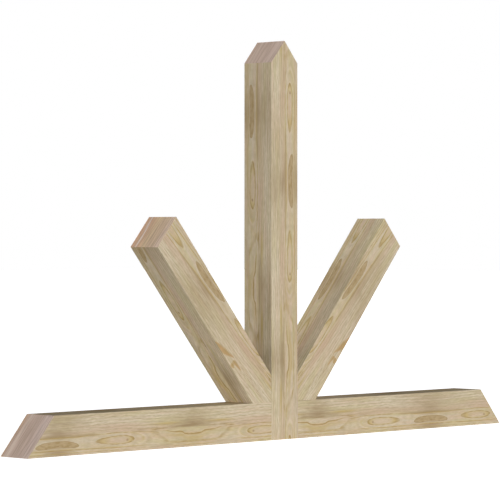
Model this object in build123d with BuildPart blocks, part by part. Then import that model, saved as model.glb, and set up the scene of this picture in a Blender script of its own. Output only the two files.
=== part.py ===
"""Timber gable bracket: a king post, two bottom chords and two struts that fit under a pitched roof.

All five timbers are sawn from one section and butt together with plain cuts. Every outer end is cut
on the rake, the slope of the roof, so that the whole bracket fills a triangle.

Frame: X runs along the chords, Y from front to back, Z up. The origin is at the middle of the post's foot.
"""

import os
from math import atan2, cos, sin

from build123d import *

# Driving dimensions, in millimetres
span = 1828.8  # bottom chords, tip to tip
height = 1066.8  # underside of the chords to the ridge of the post
timber_face = 101.6  # width of every timber, seen from the front
timber_depth = 101.6  # thickness of every timber, front to back
arris_radius = 1.5  # eased long edges of the sawn stock

# The rake: one plane each side, from the ridge down to the chord's tip
right_rake = Plane(origin=(0, 0, height), x_dir=(0, 1, 0), z_dir=(height, 0, span / 2))
left_rake = Plane(origin=(0, 0, height), x_dir=(0, 1, 0), z_dir=(-height, 0, span / 2))
rake_angle = atan2(height, span / 2)


def rake_height(reach):
    """Height of the rake above the floor, at a distance from the middle of the span."""
    return height * (1 - reach / (span / 2))


def rake_reach(level):
    """Distance of the rake from the middle of the span, at a height above the floor."""
    return span / 2 * (1 - level / height)


# Faces that the other timbers seat on
post_side = timber_face / 2
chord_top = timber_face

# A strut runs from the corner of post and chord to the middle of the open rake. Its foot is a point with
# two faces of about equal length, one on the post and one on the chord.
seat_length = timber_face / (sin(rake_angle) + cos(rake_angle))
foot_middle = Vector(post_side + seat_length / 2, 0, chord_top + seat_length / 2)
head_middle = Vector(
    (post_side + rake_reach(chord_top)) / 2, 0, (chord_top + rake_height(post_side)) / 2
)
strut_run = head_middle - foot_middle
strut_stock = Plane(origin=(foot_middle + head_middle) / 2, x_dir=(0, 1, 0), z_dir=strut_run)

# King post: the full height, with the two rake cuts meeting in a ridge
with BuildPart() as king_post:
    with BuildSketch(Plane.XY):
        RectangleRounded(timber_face, timber_depth, arris_radius)
    extrude(amount=height)
    split(bisect_by=left_rake, keep=Keep.BOTTOM)
    split(bisect_by=right_rake, keep=Keep.BOTTOM)
king_post.part.label = "king_post"

# Right chord: square end against the post, rake cut at the tip
chord_stock = Plane(origin=(post_side, 0, timber_face / 2), x_dir=(0, 1, 0), z_dir=(1, 0, 0))
with BuildPart() as right_chord:
    with BuildSketch(chord_stock):
        RectangleRounded(timber_depth, timber_face, arris_radius)
    extrude(amount=span / 2 - post_side)
    split(bisect_by=right_rake, keep=Keep.BOTTOM)
right_chord.part.label = "right_chord"

# Right strut: stock longer than the run by one face at each end, sawn to the rake, the post and the chord
with BuildPart() as right_strut:
    with BuildSketch(strut_stock):
        RectangleRounded(timber_depth, timber_face, arris_radius)
    extrude(amount=strut_run.length / 2 + timber_face, both=True)
    split(bisect_by=right_rake, keep=Keep.BOTTOM)
    split(bisect_by=Plane.YZ.offset(post_side), keep=Keep.TOP)
    split(bisect_by=Plane.XY.offset(chord_top), keep=Keep.TOP)
right_strut.part.label = "right_strut"

# The left half mirrors the right
with BuildPart() as left_chord:
    mirror(right_chord.part, about=Plane.YZ)
left_chord.part.label = "left_chord"

with BuildPart() as left_strut:
    mirror(right_strut.part, about=Plane.YZ)
left_strut.part.label = "left_strut"

os.makedirs("parts", exist_ok=True)
for timber in (king_post, left_chord, right_chord, left_strut, right_strut):
    export_step(timber.part, f"parts/{timber.part.label}.step")
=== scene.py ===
"""Timber gable bracket, dressed as bare sawn softwood: a king post, two bottom chords and two struts.

The five timbers are lengths of one square stock. Each is modelled as stock with eased edges, sawn to the
planes that it meets, and then ruled with a fine lattice that carries the figure of the wood.
"""

from math import radians

import bmesh
import bpy
import numpy as np
from mathutils import Matrix, Vector


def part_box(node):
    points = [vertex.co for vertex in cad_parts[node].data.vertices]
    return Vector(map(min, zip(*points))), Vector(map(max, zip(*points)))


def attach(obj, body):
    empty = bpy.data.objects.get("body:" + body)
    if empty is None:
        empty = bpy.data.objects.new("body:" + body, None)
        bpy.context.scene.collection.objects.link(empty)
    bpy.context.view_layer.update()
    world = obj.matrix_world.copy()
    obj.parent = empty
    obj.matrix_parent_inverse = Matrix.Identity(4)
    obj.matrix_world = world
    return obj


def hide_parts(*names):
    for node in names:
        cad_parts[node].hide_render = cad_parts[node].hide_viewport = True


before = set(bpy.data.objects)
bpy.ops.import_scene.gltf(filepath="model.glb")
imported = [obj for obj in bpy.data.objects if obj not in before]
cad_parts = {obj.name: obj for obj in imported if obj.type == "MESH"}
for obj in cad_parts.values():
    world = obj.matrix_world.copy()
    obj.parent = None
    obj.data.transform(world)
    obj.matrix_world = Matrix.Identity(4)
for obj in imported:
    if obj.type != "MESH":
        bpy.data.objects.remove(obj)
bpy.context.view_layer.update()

# King post: the upright in the middle, one length of square softwood that runs from the floor to the ridge.
# It is sawn square at the foot, and its head is sawn twice, on the two slopes of the roof.
foot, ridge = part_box("king_post")
face_width = ridge.x - foot.x
depth = ridge.y - foot.y
height = ridge.z
half_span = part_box("right_chord")[1].x
upright = Vector((0, 0, 1))
rightward = Vector((1, 0, 0))
backward = Vector((0, 1, 0))

# Saw cuts, each a point on its plane and the direction out of the timber
post_foot = Vector((0, 0, 0))
peak = Vector((0, 0, height))
floor_cut = (post_foot, Vector((0, 0, -1)))
right_rake = (peak, Vector((height, 0, half_span)).normalized())
left_rake = (peak, Vector((-height, 0, half_span)).normalized())

arris = 0.0015  # radius of the eased long edges
arris_steps = 3
sawn_edge = 0.0004  # the saw's edges, broken by a touch of sandpaper
lattice_along = 0.005  # spacing of the lattice along the grain, and across it
lattice_across = 0.003
SAWN_END = 1  # number of the ends' material; the long faces have number 0


def saw(stock, point, outward, drop=False):
    """Cuts the stock at a plane, drops what lies beyond if asked, and gives the edges of the cut."""
    every = stock.verts[:] + stock.edges[:] + stock.faces[:]
    cut = bmesh.ops.bisect_plane(stock, geom=every, plane_co=point, plane_no=outward, clear_outer=drop)
    return [part for part in cut["geom_cut"] if isinstance(part, bmesh.types.BMEdge)]


def sawn_timber(start, along, across, length, cuts):
    """Square stock from start along its axis, a face width too long at each end, sawn off at each cut."""
    stock = bmesh.new()
    bmesh.ops.create_cube(stock, size=1)
    bmesh.ops.scale(stock, vec=(face_width, depth, length + 2 * face_width), verts=stock.verts)
    long_edges = [edge for edge in stock.edges if abs((edge.verts[0].co - edge.verts[1].co).z) > length]
    bmesh.ops.bevel(stock, geom=long_edges, offset=arris, offset_type="OFFSET", segments=arris_steps,
                    profile=0.5, affect="EDGES", material=-1)
    turn = Matrix((across, backward, along)).transposed().to_4x4()
    place = Matrix.Translation(start + along * length / 2)
    bmesh.ops.transform(stock, matrix=place @ turn, verts=stock.verts)
    for point, outward in cuts:
        rim = saw(stock, point, outward, drop=True)
        for end in bmesh.ops.edgeloop_fill(stock, edges=rim)["faces"]:
            end.material_index = SAWN_END
    bmesh.ops.recalc_face_normals(stock, faces=stock.faces)
    rims = {edge for face in stock.faces if face.material_index == SAWN_END for edge in face.edges}
    bmesh.ops.bevel(stock, geom=list(rims), offset=sawn_edge, offset_type="OFFSET", segments=1,
                    profile=0.5, affect="EDGES", material=-1)
    spacings = ((across, lattice_across), (backward, lattice_across), (along, lattice_along))
    for direction, spacing in spacings:
        reach = [vertex.co.dot(direction) for vertex in stock.verts]
        count = int((max(reach) - min(reach)) / spacing)
        for station in np.linspace(min(reach), max(reach), count + 1)[1:-1]:
            saw(stock, direction * station, direction)
    return stock


# The figure of a flat-sawn face, in face widths. A chain of marks lies along the heart line and repeats in
# mirror image: a filled oval, where one growth ring just grazes the face, then an open oval with a knot and a
# dark tip, then a long island of rings with a pale dip. Place is counted along the chain from the middle of a
# filled oval, and aside from the heart line. Straight grain fills the side where aside is below -0.2.
chain_length = 9.3  # one filled oval to the next
filled_half_length = 0.72
filled_waist = 0.085  # half width at its middle
filled_half_width = 0.094  # and nearer its ends
filled_aside = 0.006
filled_droop = 0.055  # how far its ends bend aside
filled_spots = ((0.03, 0.05), (0.16, 0.055), (0.36, 0.085))  # small dark spots: place and aside
spot_half_length = 0.07
spot_half_width = 0.025
open_at = 2.1  # the open oval's widest place
open_aside = -0.012
open_to_tip = 0.83
open_to_round = 0.55
open_half_width = 0.112
tip_at = 1.34  # dark tip of the open oval
tip_half_length = 0.06
tip_half_width = 0.028
knot_at = 2.39
knot_radius = 0.046
knot_squeeze = 1.3  # a knot is a little longer than wide
slide_at = 2.4  # the mirror image isn't quite true: here the chain slides a little along the timber
slide_reach = 0.5
island_at = chain_length / 2
island_rim = ((3.4, -0.25), (3.55, -0.225), (3.7, -0.2), (3.9, -0.155), (4.2, -0.14), (4.28, -0.12),
              (4.33, -0.09), (4.45, -0.07), (4.65, -0.065))  # lower rim of the island: place and aside
rim_width = 0.11
island_bank = ((-0.2, 3.36), (-0.05, 3.52), (0.03, 3.66), (0.1, 3.76))  # ring round it: aside and place
channel_straight = 0.175  # first ring beside the ovals, towards the straight grain
channel_away = 0.165  # and away from it
heart_ring = 0.35  # share of a ring that the heart line lies in
open_pitch = 0.75  # rings for each step outward from the open oval
ring_pitch = 1 / 13  # spacing of the rings in the straight grain
crease_half_width = 0.027
spike_point = 0.015  # half width of a spike at its point
end_fade = 12  # how fast creases and spikes fade past their ends
far = 5.0  # a distance that is past every mark

# Soft patches, each with its depth, its place and reach along the chain, and its place and reach aside
faded_lines = ((0.3, 2.2, 0.7, -0.22, 0.05), (0.2, 2.0, 0.4, 0.09, 0.04), (0.5, 1.33, 0.13, 0.0, 0.05))
pink_patches = ((0.5, 3.5, 0.5, -0.27, 0.05),)
brown_patches = ((0.3, 0.0, 0.3, -0.3, 0.1), (0.5, 0.0, 0.35, 0.09, 0.03), (0.5, 2.85, 0.3, -0.235, 0.035),
                 (0.3, 3.95, 0.2, -0.225, 0.03), (0.4, 3.95, 0.35, -0.315, 0.05),
                 (0.35, 4.65, 0.7, 0.1, 0.025))
ochre_patches = ((1.0, 1.6, 0.8, 0.168, 0.022), (1.8, 3.65, 0.45, -0.345, 0.028))

# Soft arcs past the open oval's round end, each with its depth, its ring counted from the oval, and its reach
pink_arcs = ((0.35, 1.3, 0.2), (0.35, 3.4, 0.4))
brown_arcs = ((0.18, 1.85, 0.3), (-0.35, 3.0, 0.5), (0.25, 3.9, 0.4))
ochre_arcs = ((0.3, 1.5, 0.25), (0.8, 2.5, 0.35), (0.3, 4.4, 0.4))


def rise(value, start, end):
    """0 up to start, 1 from end on, and smooth between; end may be the smaller of the two."""
    share = np.clip((value - start) / (end - start), 0, 1)
    return share * share * (3 - 2 * share)


def bell(value, reach):
    """1 at 0, fading to nothing a little past reach on both sides."""
    return np.exp(-(value / reach) ** 2)


def patches(place, aside, table):
    """Sum of the soft patches of a table."""
    return sum(deep * bell(place - at, reach) * bell(aside - at_aside, reach_aside)
               for deep, at, reach, at_aside, reach_aside in table)


def arcs(ring, table):
    """Sum of the soft arcs of a table."""
    return sum(deep * bell(ring - at, reach) for deep, at, reach in table)


def way(value, start, end):
    """Share of the way from start to end, and how far value lies beyond the two."""
    share = (value - start) / (end - start)
    return share, np.maximum(-share, 0) + np.maximum(share - 1, 0)


def flat_sawn(along, across, filled_at, heart, lean=0.0, slide=0.055, spikes=(), creases=(), blush=(0, 1, 0),
              painted_lightening=(0, 0)):
    """Figure, tints, marks and painted light at points of a face, all in face widths.

    Figure is the ring, the strength of its line and the share of straight grain. Tints are pink, brown and
    ochre. Marks are the distances from a filled oval, a knot and a spike.
    Heart is the chain's place across the face, lean its slope, and slide how far its open ovals slip along.
    Spikes are knots cut lengthwise: wedges, each with its point along and across the face, and the place and
    the two edges of its base. Creases are thin dark lines from one point to another. Blush is a pink flush:
    its place, reach and depth. Painted lightening is painted light that lightens the face against its shade,
    by one share near its start and one near its end.
    """
    offset = (along - filled_at + chain_length / 2) % chain_length - chain_length / 2
    place = np.abs(offset) + slide * np.sign(offset) * bell(np.abs(offset) - slide_at, slide_reach)
    aside = (across - heart - lean * (along - filled_at)) * np.sign(heart)
    to_island = island_at - place
    by_filled = rise(place, 1.5, 1.1)
    past_open = rise(place, 2.4, 2.6)
    straight = rise(aside, -0.2, -0.28)
    in_channel = rise(aside, -0.235, -0.185) * rise(aside, 0.16, 0.1)
    lower_strip = rise(aside, 0.13, 0.16)

    # Rings: egg-shaped ones round the open oval, blended into the straight ones beside it
    outward = place - open_at
    egg = np.where(outward < 0, np.abs(outward / open_to_tip) ** 1.7, np.abs(outward / open_to_round) ** 2.3)
    egg += ((aside - open_aside) / open_half_width) ** 2
    by_open = bell(outward, 0.9)
    channel = np.where(aside < 0, channel_straight + 0.045 * by_open, channel_away + 0.01 * by_open)
    out = np.minimum(np.abs(aside) / channel, 1)
    past = np.maximum(np.abs(aside) - channel, 0)
    flatness = 3.5 + 5 * rise(place, 0.7, 1.0) + 15 * rise(place, 3.0, 3.4)
    beside = heart_ring + (1 - heart_ring) * out ** flatness + past / ring_pitch
    sharpness = 9  # of the seam where the two meet
    round_oval = open_pitch * (egg - 1)
    rings = -np.log(np.exp(-sharpness * beside) + np.exp(-sharpness * round_oval)) / sharpness

    # More rings climb onto the island
    past_bank = place - np.interp(aside, *zip(*island_bank))
    bank = np.interp(past_bank, (-0.5, 0, 0.4), (0, 0.65, 0.95))
    rim = np.interp(place, *zip(*island_rim))
    inside_rim = (rim - aside) / rim_width
    rings += (bank + 0.7 * rise(inside_rim, -1, 0) + 0.4 * np.clip(inside_rim, 0, 1)) * in_channel

    # Line strength: bold round the island, weak in the straight grain, and faded here and there
    strength = 1.0 - 0.5 * straight + 0.4 * bell(to_island - 0.2, 0.75) * (1 - straight)
    strength += 0.8 * bell(aside + 0.16, 0.03) * by_filled
    strength -= 1.2 * rise(aside, -0.185, -0.205) * bell(aside + 0.2, 0.09) * by_filled
    strength -= 1.2 * bell(aside + 0.2, 0.035) * rise(place, 3.6, 3.9)
    strength -= 0.45 * rise(aside, 0.11, 0.14) * rise(place, 2.1, 2.7)
    strength -= 0.9 * bell(to_island - 1.15, 0.35) * rise(aside, -0.2, -0.1)
    strength -= 0.35 * bell(to_island, 0.45) * rise(inside_rim, 0, 0.4) * in_channel
    strength -= 0.4 * rise(aside, 0.2, 0.23) + patches(place, aside, faded_lines)

    # Pink: beside the open oval, inside it, and along the island's rim
    pink = bell(place - 2.2, 0.95) * rise(aside, -0.44, -0.34) * rise(aside, -0.18, -0.23)
    pink += 0.5 * rise(place, 1.6, 1.0) * bell(aside + 0.26, 0.07)
    pink += 0.55 * rise(egg, 0.6, 0.3)
    pink += 0.3 * bell(to_island, 0.45) * bell(aside - rim, 0.06)
    pink += arcs(egg, pink_arcs) * past_open + patches(place, aside, pink_patches)
    blush_at, blush_reach, blush_depth = blush
    pink += blush_depth * bell(along - blush_at, blush_reach) * rise(aside, -0.1, -0.2)

    # Brown: shades beside the filled oval and the island, and a line along the edge of the straight grain.
    # Where it is negative, the wood is paler.
    mid_line = rise(aside, -0.15, -0.17) * np.exp(np.minimum(aside + 0.175, 0) / 0.03)
    brown = (0.6 * mid_line + 0.5 * bell(aside + 0.185, 0.025)) * by_filled
    shade = rise(aside, -0.2, -0.23) * np.exp(np.minimum(aside + 0.25, 0) / 0.15)
    brown += 1.2 * bell(to_island, 0.6) * shade
    brown += (0.48 * bell(to_island, 0.5) + 0.56 * bell(place, 1.1)) * straight
    brown += 0.55 * bell(place, 0.5) * (1 - straight)
    brown += (0.3 * bell(place - 3.6, 0.5) + 0.35 * rise(place, 0.9, 0.3)) * lower_strip
    brown += 0.3 * bell(past_bank + 0.07, 0.09) * in_channel - 0.12 * rise(egg, 0.7, 0.4)
    brown += arcs(egg, brown_arcs) * past_open + patches(place, aside, brown_patches)

    # Ochre: a band under the island, and the golden ends of the open oval
    golden_ends = bell(place - 1.52, 0.13) + bell(place - 2.53, 0.12)
    ochre = 1.2 * bell(to_island, 0.8) * bell(aside - rim - 0.115, 0.07) * rise(aside - rim, 0.05, 0.1)
    ochre += 0.3 * bell(egg - 0.3, 0.12) + 0.8 * rise(egg, 1, 0.75) * golden_ends
    ochre += 0.4 * bell(aside + 0.18, 0.02) * by_filled
    ochre += arcs(egg, ochre_arcs) * past_open + patches(place, aside, ochre_patches)

    # Marks: distances from their middles, about 1 at their edges
    oval_aside = aside - filled_aside - filled_droop * (place / filled_half_length) ** 2
    oval_width = filled_waist + (filled_half_width - filled_waist) * rise(place, 0.15, 0.35)
    filled = (place / filled_half_length) ** 3.4 + (oval_aside / oval_width) ** 2
    knot = 0.15 + np.hypot(place - knot_at, aside * knot_squeeze) / knot_radius
    tip = 0.7 + 0.8 * np.hypot((place - tip_at) / tip_half_length, aside / tip_half_width)
    knot = np.minimum(np.minimum(knot, tip), far)
    for spot_at, spot_aside in filled_spots:
        spot = np.hypot((place - spot_at) / spot_half_length, (aside - spot_aside) / spot_half_width)
        knot = np.minimum(knot, 0.5 + spot)
    for from_at, from_across, to_at, to_across in creases:
        grown, beyond = way(along, from_at, to_at)
        middle = from_across + (to_across - from_across) * grown
        crease = 0.65 + np.abs(across - middle) / crease_half_width + end_fade * beyond
        knot = np.minimum(knot, crease)
    spike = np.full_like(place, far)
    for point_at, point_across, base_at, base_low, base_high in spikes:
        grown, beyond = way(along, point_at, base_at)
        middle = point_across + ((base_low + base_high) / 2 - point_across) * grown
        half = spike_point + (base_high - base_low) / 2 * np.clip(grown, 0, 1)
        spike = np.minimum(spike, np.abs(across - middle) / half + end_fade * beyond)

    figure = np.stack((rings, strength, straight), axis=1)
    tints = np.stack((pink, brown, ochre), axis=1)
    marks = np.stack((filled, knot, spike), axis=1)
    # Last, painted light: the face lightened against its shade, less in the straight grain
    return figure, tints, marks, np.interp(along, (1, 5), painted_lightening) * (1 - 0.4 * straight)


def finish_timber(name, stock, start, along, across, figures, grain_shift, end_look):
    """Makes the piece, gives its faces their figure and grain map, and sets it in place of its CAD node.

    The sides plus and minus face along across and against it. Grain shift, in metres, gives each timber its
    own fibres, and the map of each side lies a metre from the next. End look is how banded and how warm the
    sawn ends are.
    """
    mesh = bpy.data.meshes.new(f"{name}_timber")
    stock.to_mesh(mesh)
    stock.free()
    piece = bpy.data.objects.new(mesh.name, mesh)
    bpy.context.scene.collection.objects.link(piece)

    corners = len(mesh.loops)
    vertex = np.zeros(corners, int)
    mesh.loops.foreach_get("vertex_index", vertex)
    points = np.zeros(len(mesh.vertices) * 3)
    mesh.vertices.foreach_get("co", points)
    points = points.reshape(-1, 3)[vertex] - np.array(start)
    sides = np.zeros(len(mesh.polygons), int)
    mesh.polygons.foreach_get("loop_total", sides)
    normals = np.zeros(len(mesh.polygons) * 3)
    mesh.polygons.foreach_get("normal", normals)
    normals = np.repeat(normals.reshape(-1, 3), sides, axis=0)

    run = points @ np.array(along) / face_width
    over_front = points @ np.array(across) / face_width
    over_side = points @ np.array(backward) / face_width
    toward_back = normals @ np.array(backward)
    toward_plus = normals @ np.array(across)
    facing = {"front": -toward_back, "back": toward_back, "plus": toward_plus, "minus": -toward_plus}
    nearest = np.argmax(np.stack(list(facing.values())), axis=0)
    # First share: painted light against shade; then how banded and how warm the sawn ends are
    figure, tints, marks, painted_light_and_ends = [np.zeros((corners, 3)) for _ in range(4)]
    painted_light_and_ends[:, 1:] = end_look
    grain = np.zeros((corners, 2))
    for number, side in enumerate(facing):
        here = nearest == number
        over = over_front if side in ("front", "back") else over_side
        looks = flat_sawn(run[here], over[here], **figures[side])
        figure[here], tints[here], marks[here], painted_light_and_ends[here, 0] = looks
        grain[here, 0] = run[here] * face_width + grain_shift
        grain[here, 1] = over[here] * face_width + number
    for attribute, values in {"figure": figure, "tints": tints, "marks": marks, "painted_light_and_ends": painted_light_and_ends}.items():
        carried = mesh.attributes.new(attribute, "FLOAT_VECTOR", "CORNER")
        carried.data.foreach_set("vector", values.ravel())
    mesh.uv_layers.new(name="grain").uv.foreach_set("vector", grain.ravel())
    mesh.materials.append(softwood)
    mesh.materials.append(sawn_ends)
    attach(piece, "root")
    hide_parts(name)


def linear(hex_colour):
    """Linear colour, with alpha, of an sRGB hex value."""
    parts = [int(hex_colour[i:i + 2], 16) / 255 for i in (1, 3, 5)]
    return [part / 12.92 if part <= 0.04045 else ((part + 0.055) / 1.055) ** 2.4 for part in parts] + [1]


def add(tree, kind, inputs, **settings):
    """One node with its settings; inputs are sockets to link or values to set, by socket name or number."""
    node = tree.nodes.new(kind)
    for name, value in settings.items():
        setattr(node, name, value)
    for socket, source in inputs.items():
        if isinstance(source, bpy.types.NodeSocket):
            tree.links.new(source, node.inputs[socket])
        else:
            node.inputs[socket].default_value = source
    return node


def cells(along, across, up=1000):
    """Mapping scale for a pattern whose cells have those sizes, in millimetres."""
    return (1000 / along, 1000 / across, 1000 / up)


MIX_FACTOR, MIX_A, MIX_B, MIX_RESULT = 0, 6, 7, 2  # sockets of a colour mix

# Flat-sawn softwood, sawn to size and left bare: pale earlywood with ochre latewood lines that end in a sharp
# edge, faint pink and olive stains, and fine fibres along the grain. Matt, with the latewood a little harder.
softwood = bpy.data.materials.new("flat_sawn_softwood")
softwood.use_nodes = True
tree = softwood.node_tree
surface = tree.nodes["Principled BSDF"]
carried = {}
for attribute in ("figure", "tints", "marks", "painted_light_and_ends"):
    read = add(tree, "ShaderNodeAttribute", {}, attribute_name=attribute)
    carried[attribute] = add(tree, "ShaderNodeSeparateXYZ", {0: read.outputs["Vector"]}).outputs
ring, strength, straight = carried["figure"]
pink_tint, brown_tint, ochre_tint = carried["tints"]
filled, knot, spike = carried["marks"]
# Painted light: the share by which a face is lightened against the shade that falls on it
painted_lightening = carried["painted_light_and_ends"][0]
grain = add(tree, "ShaderNodeUVMap", {}, uv_map="grain").outputs[0]
grain_along, grain_across, _ = add(tree, "ShaderNodeSeparateXYZ", {0: grain}).outputs

# Noises along the grain: cell sizes in millimetres along and across, where each starts, and its settings.
# The fibres are drawn coarser than real ones, so that they show.
grain_noises = {
    "waver": (50, 13, (0, 0, 0), {"Detail": 3.0}),
    "long streak": (90, 5, (3.1, 7.7, 0), {"Detail": 4.0, "Roughness": 0.6, "Distortion": 0.5}),
    "cloud": (240, 20, (0, 0, 0), {"Detail": 2.0}),
    "flush": (160, 13, (5.3, 2.9, 0), {"Detail": 2.0}),
    "mottle": (20, 6, (1.7, 4.1, 0), {"Detail": 2.0}),
    "fibre": (16, 2, (0, 0, 0), {"Detail": 3.0}),
}
noise = {}
for name, (cell_along, cell_across, begin, settings) in grain_noises.items():
    scale = cells(cell_along, cell_across)
    place = add(tree, "ShaderNodeMapping", {"Vector": grain, "Location": begin, "Scale": scale})
    noise[name] = add(tree, "ShaderNodeTexNoise", {"Vector": place.outputs[0], "Scale": 1.0, **settings},
                      noise_dimensions="2D").outputs[0]

# The rings waver, in the straight grain by most of their spacing
waver = add(tree, "ShaderNodeMath", {0: noise["waver"], 1: 0.5}, operation="SUBTRACT").outputs[0]
waver_rings = add(tree, "ShaderNodeMapRange", {"Value": straight, "To Min": 0.2, "To Max": 0.8})
rings = add(tree, "ShaderNodeMath", {0: waver, 1: waver_rings.outputs[0], 2: ring},
            operation="MULTIPLY_ADD").outputs[0]

# Fine streaks follow the rings: long along the grain, a part of a ring wide
streak_length = 32  # millimetres
streaks_in_a_ring = 2.6
streak_along = add(tree, "ShaderNodeMath", {0: grain_along, 1: 1000 / streak_length}, operation="MULTIPLY")
streak_across = add(tree, "ShaderNodeMath", {0: rings, 1: streaks_in_a_ring}, operation="MULTIPLY")
streak_place = add(tree, "ShaderNodeCombineXYZ", {0: streak_along.outputs[0], 1: streak_across.outputs[0],
                                                  2: grain_across})
noise["streak"] = add(tree, "ShaderNodeTexNoise", {"Vector": streak_place.outputs[0], "Scale": 1.0,
                                                   "Detail": 2.0, "Roughness": 0.5}).outputs[0]

# Earlywood, and what tints it: the noise level where a tint starts and where it is full, its depth among the
# ovals and in the straight grain, and its colour
wood = add(tree, "ShaderNodeMix", {MIX_FACTOR: straight, MIX_A: linear("#d3c5ad"), MIX_B: linear("#dbceb5")},
           data_type="RGBA").outputs[MIX_RESULT]
grain_tints = {
    "cloud": (0.42, 0.66, 0.5, 0.5, "#c4b986"),
    "flush": (0.44, 0.66, 0.4, 0.3, "#ccab94"),
    "streak": (0.4, 0.64, 0.33, 0.38, "#a99d82"),
    "long streak": (0.46, 0.66, 0.12, 0.19, "#a0937a"),
}
for name, (begin, full, oval_depth, straight_depth, colour) in grain_tints.items():
    deepest = add(tree, "ShaderNodeMapRange", {"Value": straight, "To Min": oval_depth,
                                               "To Max": straight_depth})
    share = add(tree, "ShaderNodeMapRange", {"Value": noise[name], "From Min": begin, "From Max": full,
                                             "To Max": deepest.outputs[0]})
    wood = add(tree, "ShaderNodeMix", {MIX_FACTOR: share.outputs[0], MIX_A: wood, MIX_B: linear(colour)},
               data_type="RGBA").outputs[MIX_RESULT]

# Stains: the noise that makes each one patchy, its depth where that noise is low and where it is high, and
# its colour. The first is the bleached wood, where the brown is negative.
stains = (
    (brown_tint, "long streak", -0.7, -0.7, "#efe4c8"),
    (pink_tint, "flush", 0.65, 0.65, "#c6aa93"),
    (brown_tint, "long streak", 0.4, 1.0, "#9c8769"),
    (ochre_tint, "flush", 0.35, 0.8, "#bba56a"),
)
for stain, name, low_depth, high_depth, colour in stains:
    patch = add(tree, "ShaderNodeMapRange", {"Value": noise[name], "From Min": 0.3, "From Max": 0.7,
                                             "To Min": low_depth, "To Max": high_depth})
    share = add(tree, "ShaderNodeMath", {0: stain, 1: patch.outputs[0]}, operation="MULTIPLY", use_clamp=True)
    wood = add(tree, "ShaderNodeMix", {MIX_FACTOR: share.outputs[0], MIX_A: wood, MIX_B: linear(colour)},
               data_type="RGBA").outputs[MIX_RESULT]

# Latewood: an ochre tint that deepens to a dark line and ends sharply
ring_share = add(tree, "ShaderNodeMath", {0: rings}, operation="FRACT").outputs[0]
patchy = add(tree, "ShaderNodeMapRange", {"Value": noise["mottle"], "From Min": 0.3, "From Max": 0.65,
                                          "To Min": 0.35, "To Max": 1.15})
drawn = add(tree, "ShaderNodeMath", {0: strength, 1: patchy.outputs[0]}, operation="MULTIPLY",
            use_clamp=True).outputs[0]
tint_rise = add(tree, "ShaderNodeMapRange", {"Value": ring_share, "From Min": 0.45, "From Max": 0.8,
                                             "To Max": 0.7}, interpolation_type="SMOOTHSTEP")
tint_depth = add(tree, "ShaderNodeMapRange", {"Value": straight, "To Min": 1.0, "To Max": 0.3})
tint_drawn = add(tree, "ShaderNodeMath", {0: drawn, 1: tint_depth.outputs[0]}, operation="MULTIPLY")
tint = add(tree, "ShaderNodeMath", {0: tint_rise.outputs[0], 1: tint_drawn.outputs[0]}, operation="MULTIPLY")
line_rise = add(tree, "ShaderNodeMapRange", {"Value": ring_share, "From Min": 0.64, "From Max": 0.9},
                interpolation_type="SMOOTHSTEP")
line_end = add(tree, "ShaderNodeMapRange", {"Value": ring_share, "From Min": 0.95, "From Max": 1.0,
                                            "To Min": 1.0, "To Max": 0.0}, interpolation_type="SMOOTHSTEP")
line = add(tree, "ShaderNodeMath", {0: line_rise.outputs[0], 1: line_end.outputs[0]}, operation="MULTIPLY")
line_drawn = add(tree, "ShaderNodeMath", {0: line.outputs[0], 1: drawn}, operation="MULTIPLY")
line_colour = add(tree, "ShaderNodeMix", {MIX_FACTOR: straight, MIX_A: linear("#a38b5a"),
                                          MIX_B: linear("#9a8d70")}, data_type="RGBA")

# Filled ovals with a dark rim and a pale halo, spikes, and knots
oval_waver = 0.7
spike_waver = 1.2
edge = add(tree, "ShaderNodeMath", {0: waver, 1: oval_waver, 2: filled},
           operation="MULTIPLY_ADD").outputs[0]
halo = add(tree, "ShaderNodeMapRange", {"Value": edge, "From Min": 1.0, "From Max": 2.4,
                                        "To Min": 0.35, "To Max": 0.0}, interpolation_type="SMOOTHSTEP")
rim = add(tree, "ShaderNodeMapRange", {"Value": edge, "From Min": 0.7, "From Max": 0.95},
          interpolation_type="SMOOTHSTEP")
fill_mottle = add(tree, "ShaderNodeMapRange", {"Value": noise["mottle"], "From Min": 0.35, "From Max": 0.7})
fill_depth = add(tree, "ShaderNodeMath", {0: fill_mottle.outputs[0], 1: rim.outputs[0]}, operation="MAXIMUM")
fill_colour = add(tree, "ShaderNodeMix", {MIX_FACTOR: fill_depth.outputs[0], MIX_A: linear("#b6a07c"),
                                          MIX_B: linear("#a18a60")}, data_type="RGBA")
fill = add(tree, "ShaderNodeMapRange", {"Value": edge, "From Min": 0.92, "From Max": 1.05,
                                        "To Min": 0.95, "To Max": 0.0}, interpolation_type="SMOOTHSTEP")
spike_edge = add(tree, "ShaderNodeMath", {0: waver, 1: spike_waver, 2: spike}, operation="MULTIPLY_ADD")
spike_share = add(tree, "ShaderNodeMapRange", {"Value": spike_edge.outputs[0], "From Min": 0.3,
                                               "From Max": 1.5, "To Min": 0.75, "To Max": 0.0},
                  interpolation_type="SMOOTHSTEP")
spike_colour = add(tree, "ShaderNodeMix", {MIX_FACTOR: fill_mottle.outputs[0], MIX_A: linear("#b58a54"),
                                           MIX_B: linear("#a58a48")}, data_type="RGBA")
knot_share = add(tree, "ShaderNodeMapRange", {"Value": knot, "From Min": 0.4, "From Max": 1.5,
                                              "To Min": 0.7, "To Max": 0.0}, interpolation_type="SMOOTHSTEP")

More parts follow.
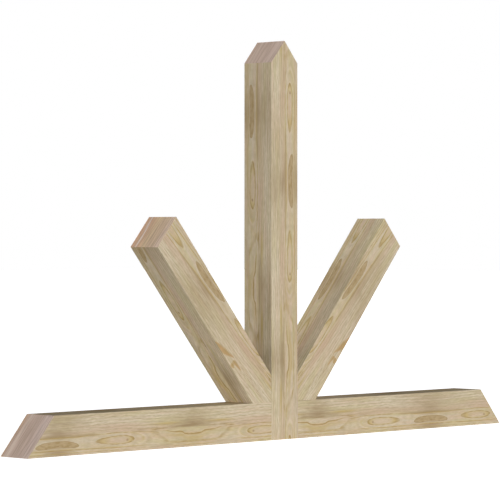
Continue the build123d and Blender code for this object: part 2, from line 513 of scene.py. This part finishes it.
# The lines and the marks over the wood, in that order
drawn_layers = (
    (tint, linear("#c6ae76")),
    (line_drawn, line_colour.outputs[MIX_RESULT]),
    (halo, linear("#cfc2ae")),
    (fill, fill_colour.outputs[MIX_RESULT]),
    (spike_share, spike_colour.outputs[MIX_RESULT]),
    (knot_share, linear("#85623f")),
)
for share, colour in drawn_layers:
    wood = add(tree, "ShaderNodeMix", {MIX_FACTOR: share.outputs[0], MIX_A: wood, MIX_B: colour},
               data_type="RGBA").outputs[MIX_RESULT]
# Painted light: faces that lie in shade are multiplied lighter by their share of it
brightest_painted_light = (1.5, 1.5, 1.5, 1)  # how much lighter painted light makes the wood at a share of 1
painted_light_wood = add(tree, "ShaderNodeMix", {MIX_FACTOR: painted_lightening, MIX_A: wood, MIX_B: brightest_painted_light},
            data_type="RGBA", blend_type="MULTIPLY")

# Fibres: short fine flecks along the grain, in colour and relief
fibre_share = add(tree, "ShaderNodeMapRange", {"Value": noise["fibre"], "From Min": 0.3, "From Max": 0.75,
                                               "To Max": 0.36})
fibred = add(tree, "ShaderNodeMix", {MIX_FACTOR: fibre_share.outputs[0], MIX_A: painted_light_wood.outputs[MIX_RESULT],
                                     MIX_B: linear("#a18e6e")}, data_type="RGBA")
tree.links.new(fibred.outputs[MIX_RESULT], surface.inputs["Base Color"])
fibre_relief = 0.0004
relief = add(tree, "ShaderNodeBump", {"Height": noise["fibre"], "Strength": 0.25, "Distance": fibre_relief})
tree.links.new(relief.outputs[0], surface.inputs["Normal"])
roughness = add(tree, "ShaderNodeMapRange", {"Value": line_drawn.outputs[0], "To Min": 0.8, "To Max": 0.62})
tree.links.new(roughness.outputs[0], surface.inputs["Roughness"])
surface.inputs["Specular IOR Level"].default_value = 0.0

# Sawn ends: the same wood cut across on the slope, open and matt, with bands of tan, mauve and pink where the
# saw crosses the rings, and fine streaks along the slope.
sawn_ends = bpy.data.materials.new("sawn_softwood_ends")
sawn_ends.use_nodes = True
tree = sawn_ends.node_tree
surface = tree.nodes["Principled BSDF"]
place = add(tree, "ShaderNodeTexCoord", {}).outputs["Object"]
_, end_depth, _ = add(tree, "ShaderNodeSeparateXYZ", {0: place}).outputs
painted_light_and_ends = add(tree, "ShaderNodeAttribute", {}, attribute_name="painted_light_and_ends")
_, band_depth, warmth = add(tree, "ShaderNodeSeparateXYZ", {0: painted_light_and_ends.outputs["Vector"]}).outputs

# Bands from the back of the end to its front, a little uneven: where each lies, and its colour
band_drift = 0.22  # share of the depth
drift_place = add(tree, "ShaderNodeMapping", {"Vector": place, "Scale": cells(71.4, 16.7, 71.4)})
drift = add(tree, "ShaderNodeTexNoise", {"Vector": drift_place.outputs[0], "Scale": 1.0, "Detail": 2.0})
drift_share = add(tree, "ShaderNodeMath", {0: drift.outputs[0], 1: 0.5}, operation="SUBTRACT")
from_back = add(tree, "ShaderNodeMapRange", {"Value": end_depth, "From Min": depth / 2,
                                             "From Max": -depth / 2})
band_place = add(tree, "ShaderNodeMath", {0: drift_share.outputs[0], 1: band_drift, 2: from_back.outputs[0]},
                 operation="MULTIPLY_ADD")
cool_bands = ((0.0, "#d5b395"), (0.1, "#d3b8a3"), (0.22, "#e1cfc0"), (0.32, "#d0b8a8"), (0.5, "#cbb5a5"),
              (0.68, "#cfb9ab"), (0.82, "#ddcac0"), (1.0, "#d9c3b5"))
warm_bands = ((0.0, "#dcb392"), (0.12, "#dcb698"), (0.16, "#ece0d4"), (0.22, "#d8b092"), (0.45, "#e1c8a2"),
              (0.62, "#d6bc9e"), (0.8, "#dcc3a6"), (0.9, "#e4ccb8"), (1.0, "#e2caae"))
band_colours = []
for colours in (cool_bands, warm_bands):
    ramp = add(tree, "ShaderNodeValToRGB", {"Fac": band_place.outputs[0]})
    while len(ramp.color_ramp.elements) < len(colours):
        ramp.color_ramp.elements.new(0.5)
    for element, (position, colour) in zip(ramp.color_ramp.elements, colours):
        element.position = position
        element.color = linear(colour)
    band_colours.append(ramp.outputs[0])
bands = add(tree, "ShaderNodeMix", {MIX_FACTOR: warmth, MIX_A: band_colours[0], MIX_B: band_colours[1]},
            data_type="RGBA")
banded = add(tree, "ShaderNodeMix", {MIX_FACTOR: band_depth, MIX_A: linear("#cdb7a8"),
                                     MIX_B: bands.outputs[MIX_RESULT]}, data_type="RGBA")

# Streaks that the saw leaves, drawn wider than real ones, so that they show
stroke_place = add(tree, "ShaderNodeMapping", {"Vector": place, "Scale": cells(83.3, 3.03, 83.3)})
stroke = add(tree, "ShaderNodeTexNoise", {"Vector": stroke_place.outputs[0], "Scale": 1.0, "Detail": 2.0,
                                          "Roughness": 0.6})
stroke_share = add(tree, "ShaderNodeMapRange", {"Value": stroke.outputs[0], "From Min": 0.42,
                                                "From Max": 0.62, "To Max": 0.75})
stroke_depth = add(tree, "ShaderNodeMapRange", {"Value": band_depth, "To Min": 0.65, "To Max": 0.8})
stroke_drawn = add(tree, "ShaderNodeMath", {0: stroke_share.outputs[0], 1: stroke_depth.outputs[0]},
                   operation="MULTIPLY")
stroked = add(tree, "ShaderNodeMix", {MIX_FACTOR: stroke_drawn.outputs[0], MIX_A: banded.outputs[MIX_RESULT],
                                      MIX_B: linear("#a58c7c")}, data_type="RGBA")
tree.links.new(stroked.outputs[MIX_RESULT], surface.inputs["Base Color"])
stroke_relief = 0.0005
relief = add(tree, "ShaderNodeBump", {"Height": stroke.outputs[0], "Strength": 0.4,
                                      "Distance": stroke_relief})
tree.links.new(relief.outputs[0], surface.inputs["Normal"])
surface.inputs["Roughness"].default_value = 0.85
surface.inputs["Specular IOR Level"].default_value = 0.0

post_figures = {
    "front": {"filled_at": 6.8, "heart": 0.21},
    "back": {"filled_at": 3.1, "heart": -0.2},
    "minus": {"filled_at": 8.64, "heart": 0.2, "slide": -0.055},
    "plus": {"filled_at": 5.0, "heart": -0.2},
}
post_shift = 0.0
post_ends = (0.3, 0.0)
post = sawn_timber(post_foot, upright, rightward, height, [floor_cut, left_rake, right_rake])
finish_timber("king_post", post, post_foot, upright, rightward, post_figures, post_shift, post_ends)

# Bottom chords: two lengths of the same stock that butt against the post's sides with a square end. Their
# tips are sawn on the slope of the roof. The bracket stands on them and on the post's foot.
post_side = face_width / 2
left_side = (Vector((-post_side, 0, 0)), Vector((1, 0, 0)))
right_side = (Vector((post_side, 0, 0)), Vector((-1, 0, 0)))
chord_length = half_span - post_side
chord_figures = {
    "left_chord": {
        "front": {"filled_at": 0.96, "heart": -0.21},
        "back": {"filled_at": 5.2, "heart": 0.2},
        "plus": {"filled_at": 3.0, "heart": 0.2},
        "minus": {"filled_at": 6.0, "heart": -0.2},
    },
    "right_chord": {
        "front": {"filled_at": 5.45, "heart": -0.21},
        "back": {"filled_at": 1.9, "heart": 0.2},
        "plus": {"filled_at": 4.4, "heart": 0.2},
        "minus": {"filled_at": 2.0, "heart": -0.2},
    },
}
chord_places = {  # where each starts, its cuts, and its grain shift
    "left_chord": (Vector((-half_span, 0, face_width / 2)), [left_side, left_rake], 2.0),
    "right_chord": (Vector((post_side, 0, face_width / 2)), [right_side, right_rake], 4.0),
}
chord_ends = (0.9, 0.0)
for name, (start, cuts, chord_shift) in chord_places.items():
    chord = sawn_timber(start, rightward, upright, chord_length, cuts)
    finish_timber(name, chord, start, rightward, upright, chord_figures[name], chord_shift, chord_ends)

# Struts: two shorter lengths that lean out from the corners of post and chords. The foot is a point with two
# seats of equal length, one on the post and one on the chord. The head is sawn on the slope of the roof.
chord_top = (Vector((0, 0, face_width)), Vector((0, 0, -1)))
slope = right_rake[1]
seat = face_width / (slope.x + slope.z)
foot_middle = Vector((post_side + seat / 2, 0, face_width + seat / 2))
open_top = height * (1 - post_side / half_span)  # where the rake meets the post's side
open_tip = half_span * (1 - face_width / height)  # and the chord's top
head_middle = Vector(((post_side + open_tip) / 2, 0, (face_width + open_top) / 2))
strut_front = {
    "filled_at": 3.9, "heart": 0.3, "lean": -0.085, "blush": (2.1, 1.0, 0.33),
    "spikes": ((1.4, -0.27, 1.78, -0.37, -0.29), (1.62, -0.43, 1.78, -0.5, -0.3),
               (1.85, -0.26, 2.2, -0.49, -0.33), (2.62, -0.5, 2.2, -0.5, -0.33)),
    "creases": ((0.4, -0.05, 1.5, -0.21), (0.4, -0.14, 1.4, -0.28)),
}
strut_figures = {
    "left_strut": {
        "front": strut_front,
        "back": {"filled_at": 1.0, "heart": -0.2},
        "plus": {"filled_at": 2.5, "heart": 0.2},
        # Painted light: the left strut's under face is lightened against its shade, most near its foot
        "minus": {"filled_at": 5.97, "heart": 0.2, "slide": 0.0, "painted_lightening": (0.76, 0.28)},
    },
    "right_strut": {
        "front": strut_front,
        "back": {"filled_at": 4.4, "heart": -0.2},
        # Painted light: the right strut's upper face is lightened against the shade from the post
        "plus": {"filled_at": 3.79, "heart": 0.2, "slide": -0.055, "painted_lightening": (0.27, 0.33)},
        "minus": {"filled_at": 2.0, "heart": 0.2},
    },
}
strut_places = {  # which hand, its cuts, and its grain shift
    "left_strut": (Vector((-1, 1, 1)), [left_side, chord_top, left_rake], 6.0),
    "right_strut": (Vector((1, 1, 1)), [right_side, chord_top, right_rake], 8.0),
}
strut_ends = (1.0, 1.0)
for name, (hand, cuts, strut_shift) in strut_places.items():
    run = (head_middle - foot_middle) * hand
    along = run.normalized()
    across = Vector((-along.z * hand.x, 0, along.x * hand.x))
    start = foot_middle * hand - along * face_width / 2
    strut = sawn_timber(start, along, across, run.length + face_width / 2, cuts)
    finish_timber(name, strut, start, along, across, strut_figures[name], strut_shift, strut_ends)


# Floor: a plain white studio floor, painted and matt. It looks white to the camera, and keeps a faint shadow
# of the bracket that stands on it.
floor_reach = 30
floor_glow = 0.9


def shown_rays(tree):
    """1 on rays that show a thing, straight or by mirror or glass, and 0 on rays that only carry light."""
    rays = add(tree, "ShaderNodeLightPath", {}).outputs
    seen = add(tree, "ShaderNodeMath", {0: rays["Is Camera Ray"], 1: rays["Is Glossy Ray"]},
               operation="MAXIMUM")
    return add(tree, "ShaderNodeMath", {0: seen.outputs[0], 1: rays["Is Transmission Ray"]},
               operation="MAXIMUM").outputs[0]


bpy.ops.mesh.primitive_plane_add(size=2 * floor_reach)
floor = bpy.context.object
floor.name = "studio_floor"
white_floor = bpy.data.materials.new("white_studio_floor")
white_floor.use_nodes = True
tree = white_floor.node_tree
paint = tree.nodes["Principled BSDF"]
paint.inputs["Base Color"].default_value = linear("#f0f0f0")
paint.inputs["Roughness"].default_value = 1.0
paint.inputs["Specular IOR Level"].default_value = 0.0
glow_level = add(tree, "ShaderNodeMath", {0: shown_rays(tree), 1: floor_glow}, operation="MULTIPLY")
glow = add(tree, "ShaderNodeEmission", {"Color": (1, 1, 1, 1), "Strength": glow_level.outputs[0]})
both = add(tree, "ShaderNodeAddShader", {0: paint.outputs[0], 1: glow.outputs[0]})
tree.links.new(both.outputs[0], tree.nodes["Material Output"].inputs["Surface"])
floor.data.materials.append(white_floor)

# Light: two soft lights from the front, one low and one high, and three weaker, cooler ones low at the sides
# and behind, in a room that is bright at eye level, dark overhead, and looks white to the camera.
world = bpy.data.worlds.new("studio_room")
bpy.context.scene.world = world
world.use_nodes = True
tree = world.node_tree
direction = add(tree, "ShaderNodeTexCoord", {}).outputs["Generated"]
_, _, upward = add(tree, "ShaderNodeSeparateXYZ", {0: direction}).outputs
wall_level = add(tree, "ShaderNodeMapRange", {"Value": upward, "From Min": 0.0, "From Max": 0.2,
                                              "To Min": 0.75, "To Max": 0.0}, interpolation_type="SMOOTHSTEP")
room_level = add(tree, "ShaderNodeMapRange", {"Value": shown_rays(tree), "To Min": wall_level.outputs[0],
                                              "To Max": 1.0})
room = tree.nodes["Background"]
room.inputs["Color"].default_value = (1, 1, 1, 1)
tree.links.new(room_level.outputs[0], room.inputs["Strength"])
white = (1, 1, 1)
cool = (0.97, 0.98, 1)
lamps = {  # bearing from the front towards the left, height above the horizon, spread, strength, colour
    "key_light": (25, 5, 9, 1.78, white),
    "high_light": (10, 40, 18, 1.2, white),
    "side_light": (113, 5, 9, 0.51, cool),
    "back_light": (140, 5, 9, 0.5, cool),
    "fill_light": (-120, 2, 4, 0.8, cool),
}
for name, (bearing, elevation, spread, power, colour) in lamps.items():
    light = bpy.data.lights.new(name, "SUN")
    light.angle = radians(spread)
    light.energy = power
    light.color = colour
    lamp = bpy.data.objects.new(name, light)
    lamp.rotation_euler = (radians(90 - elevation), 0, radians(-bearing))
    bpy.context.scene.collection.objects.link(lamp)

# Camera: at half the bracket's height, looking at it from the front left through a long lens. It is level, so
# that uprights stay upright, and the lens is shifted a little to set the bracket in the picture.
eye = Vector((-5.3842, -5.1158, 0.5357))
heading = radians(-46.031)
camera_data = bpy.data.cameras.new("camera")
camera_data.sensor_width = 36
camera_data.lens = 198.92
camera_data.shift_y = -0.0216
camera_data.clip_end = 200
camera = bpy.data.objects.new("camera", camera_data)
camera.location = eye
camera.rotation_euler = (radians(90), 0, heading)
bpy.context.scene.collection.objects.link(camera)
bpy.context.scene.camera = camera
bpy.context.scene.view_settings.view_transform = "Standard"
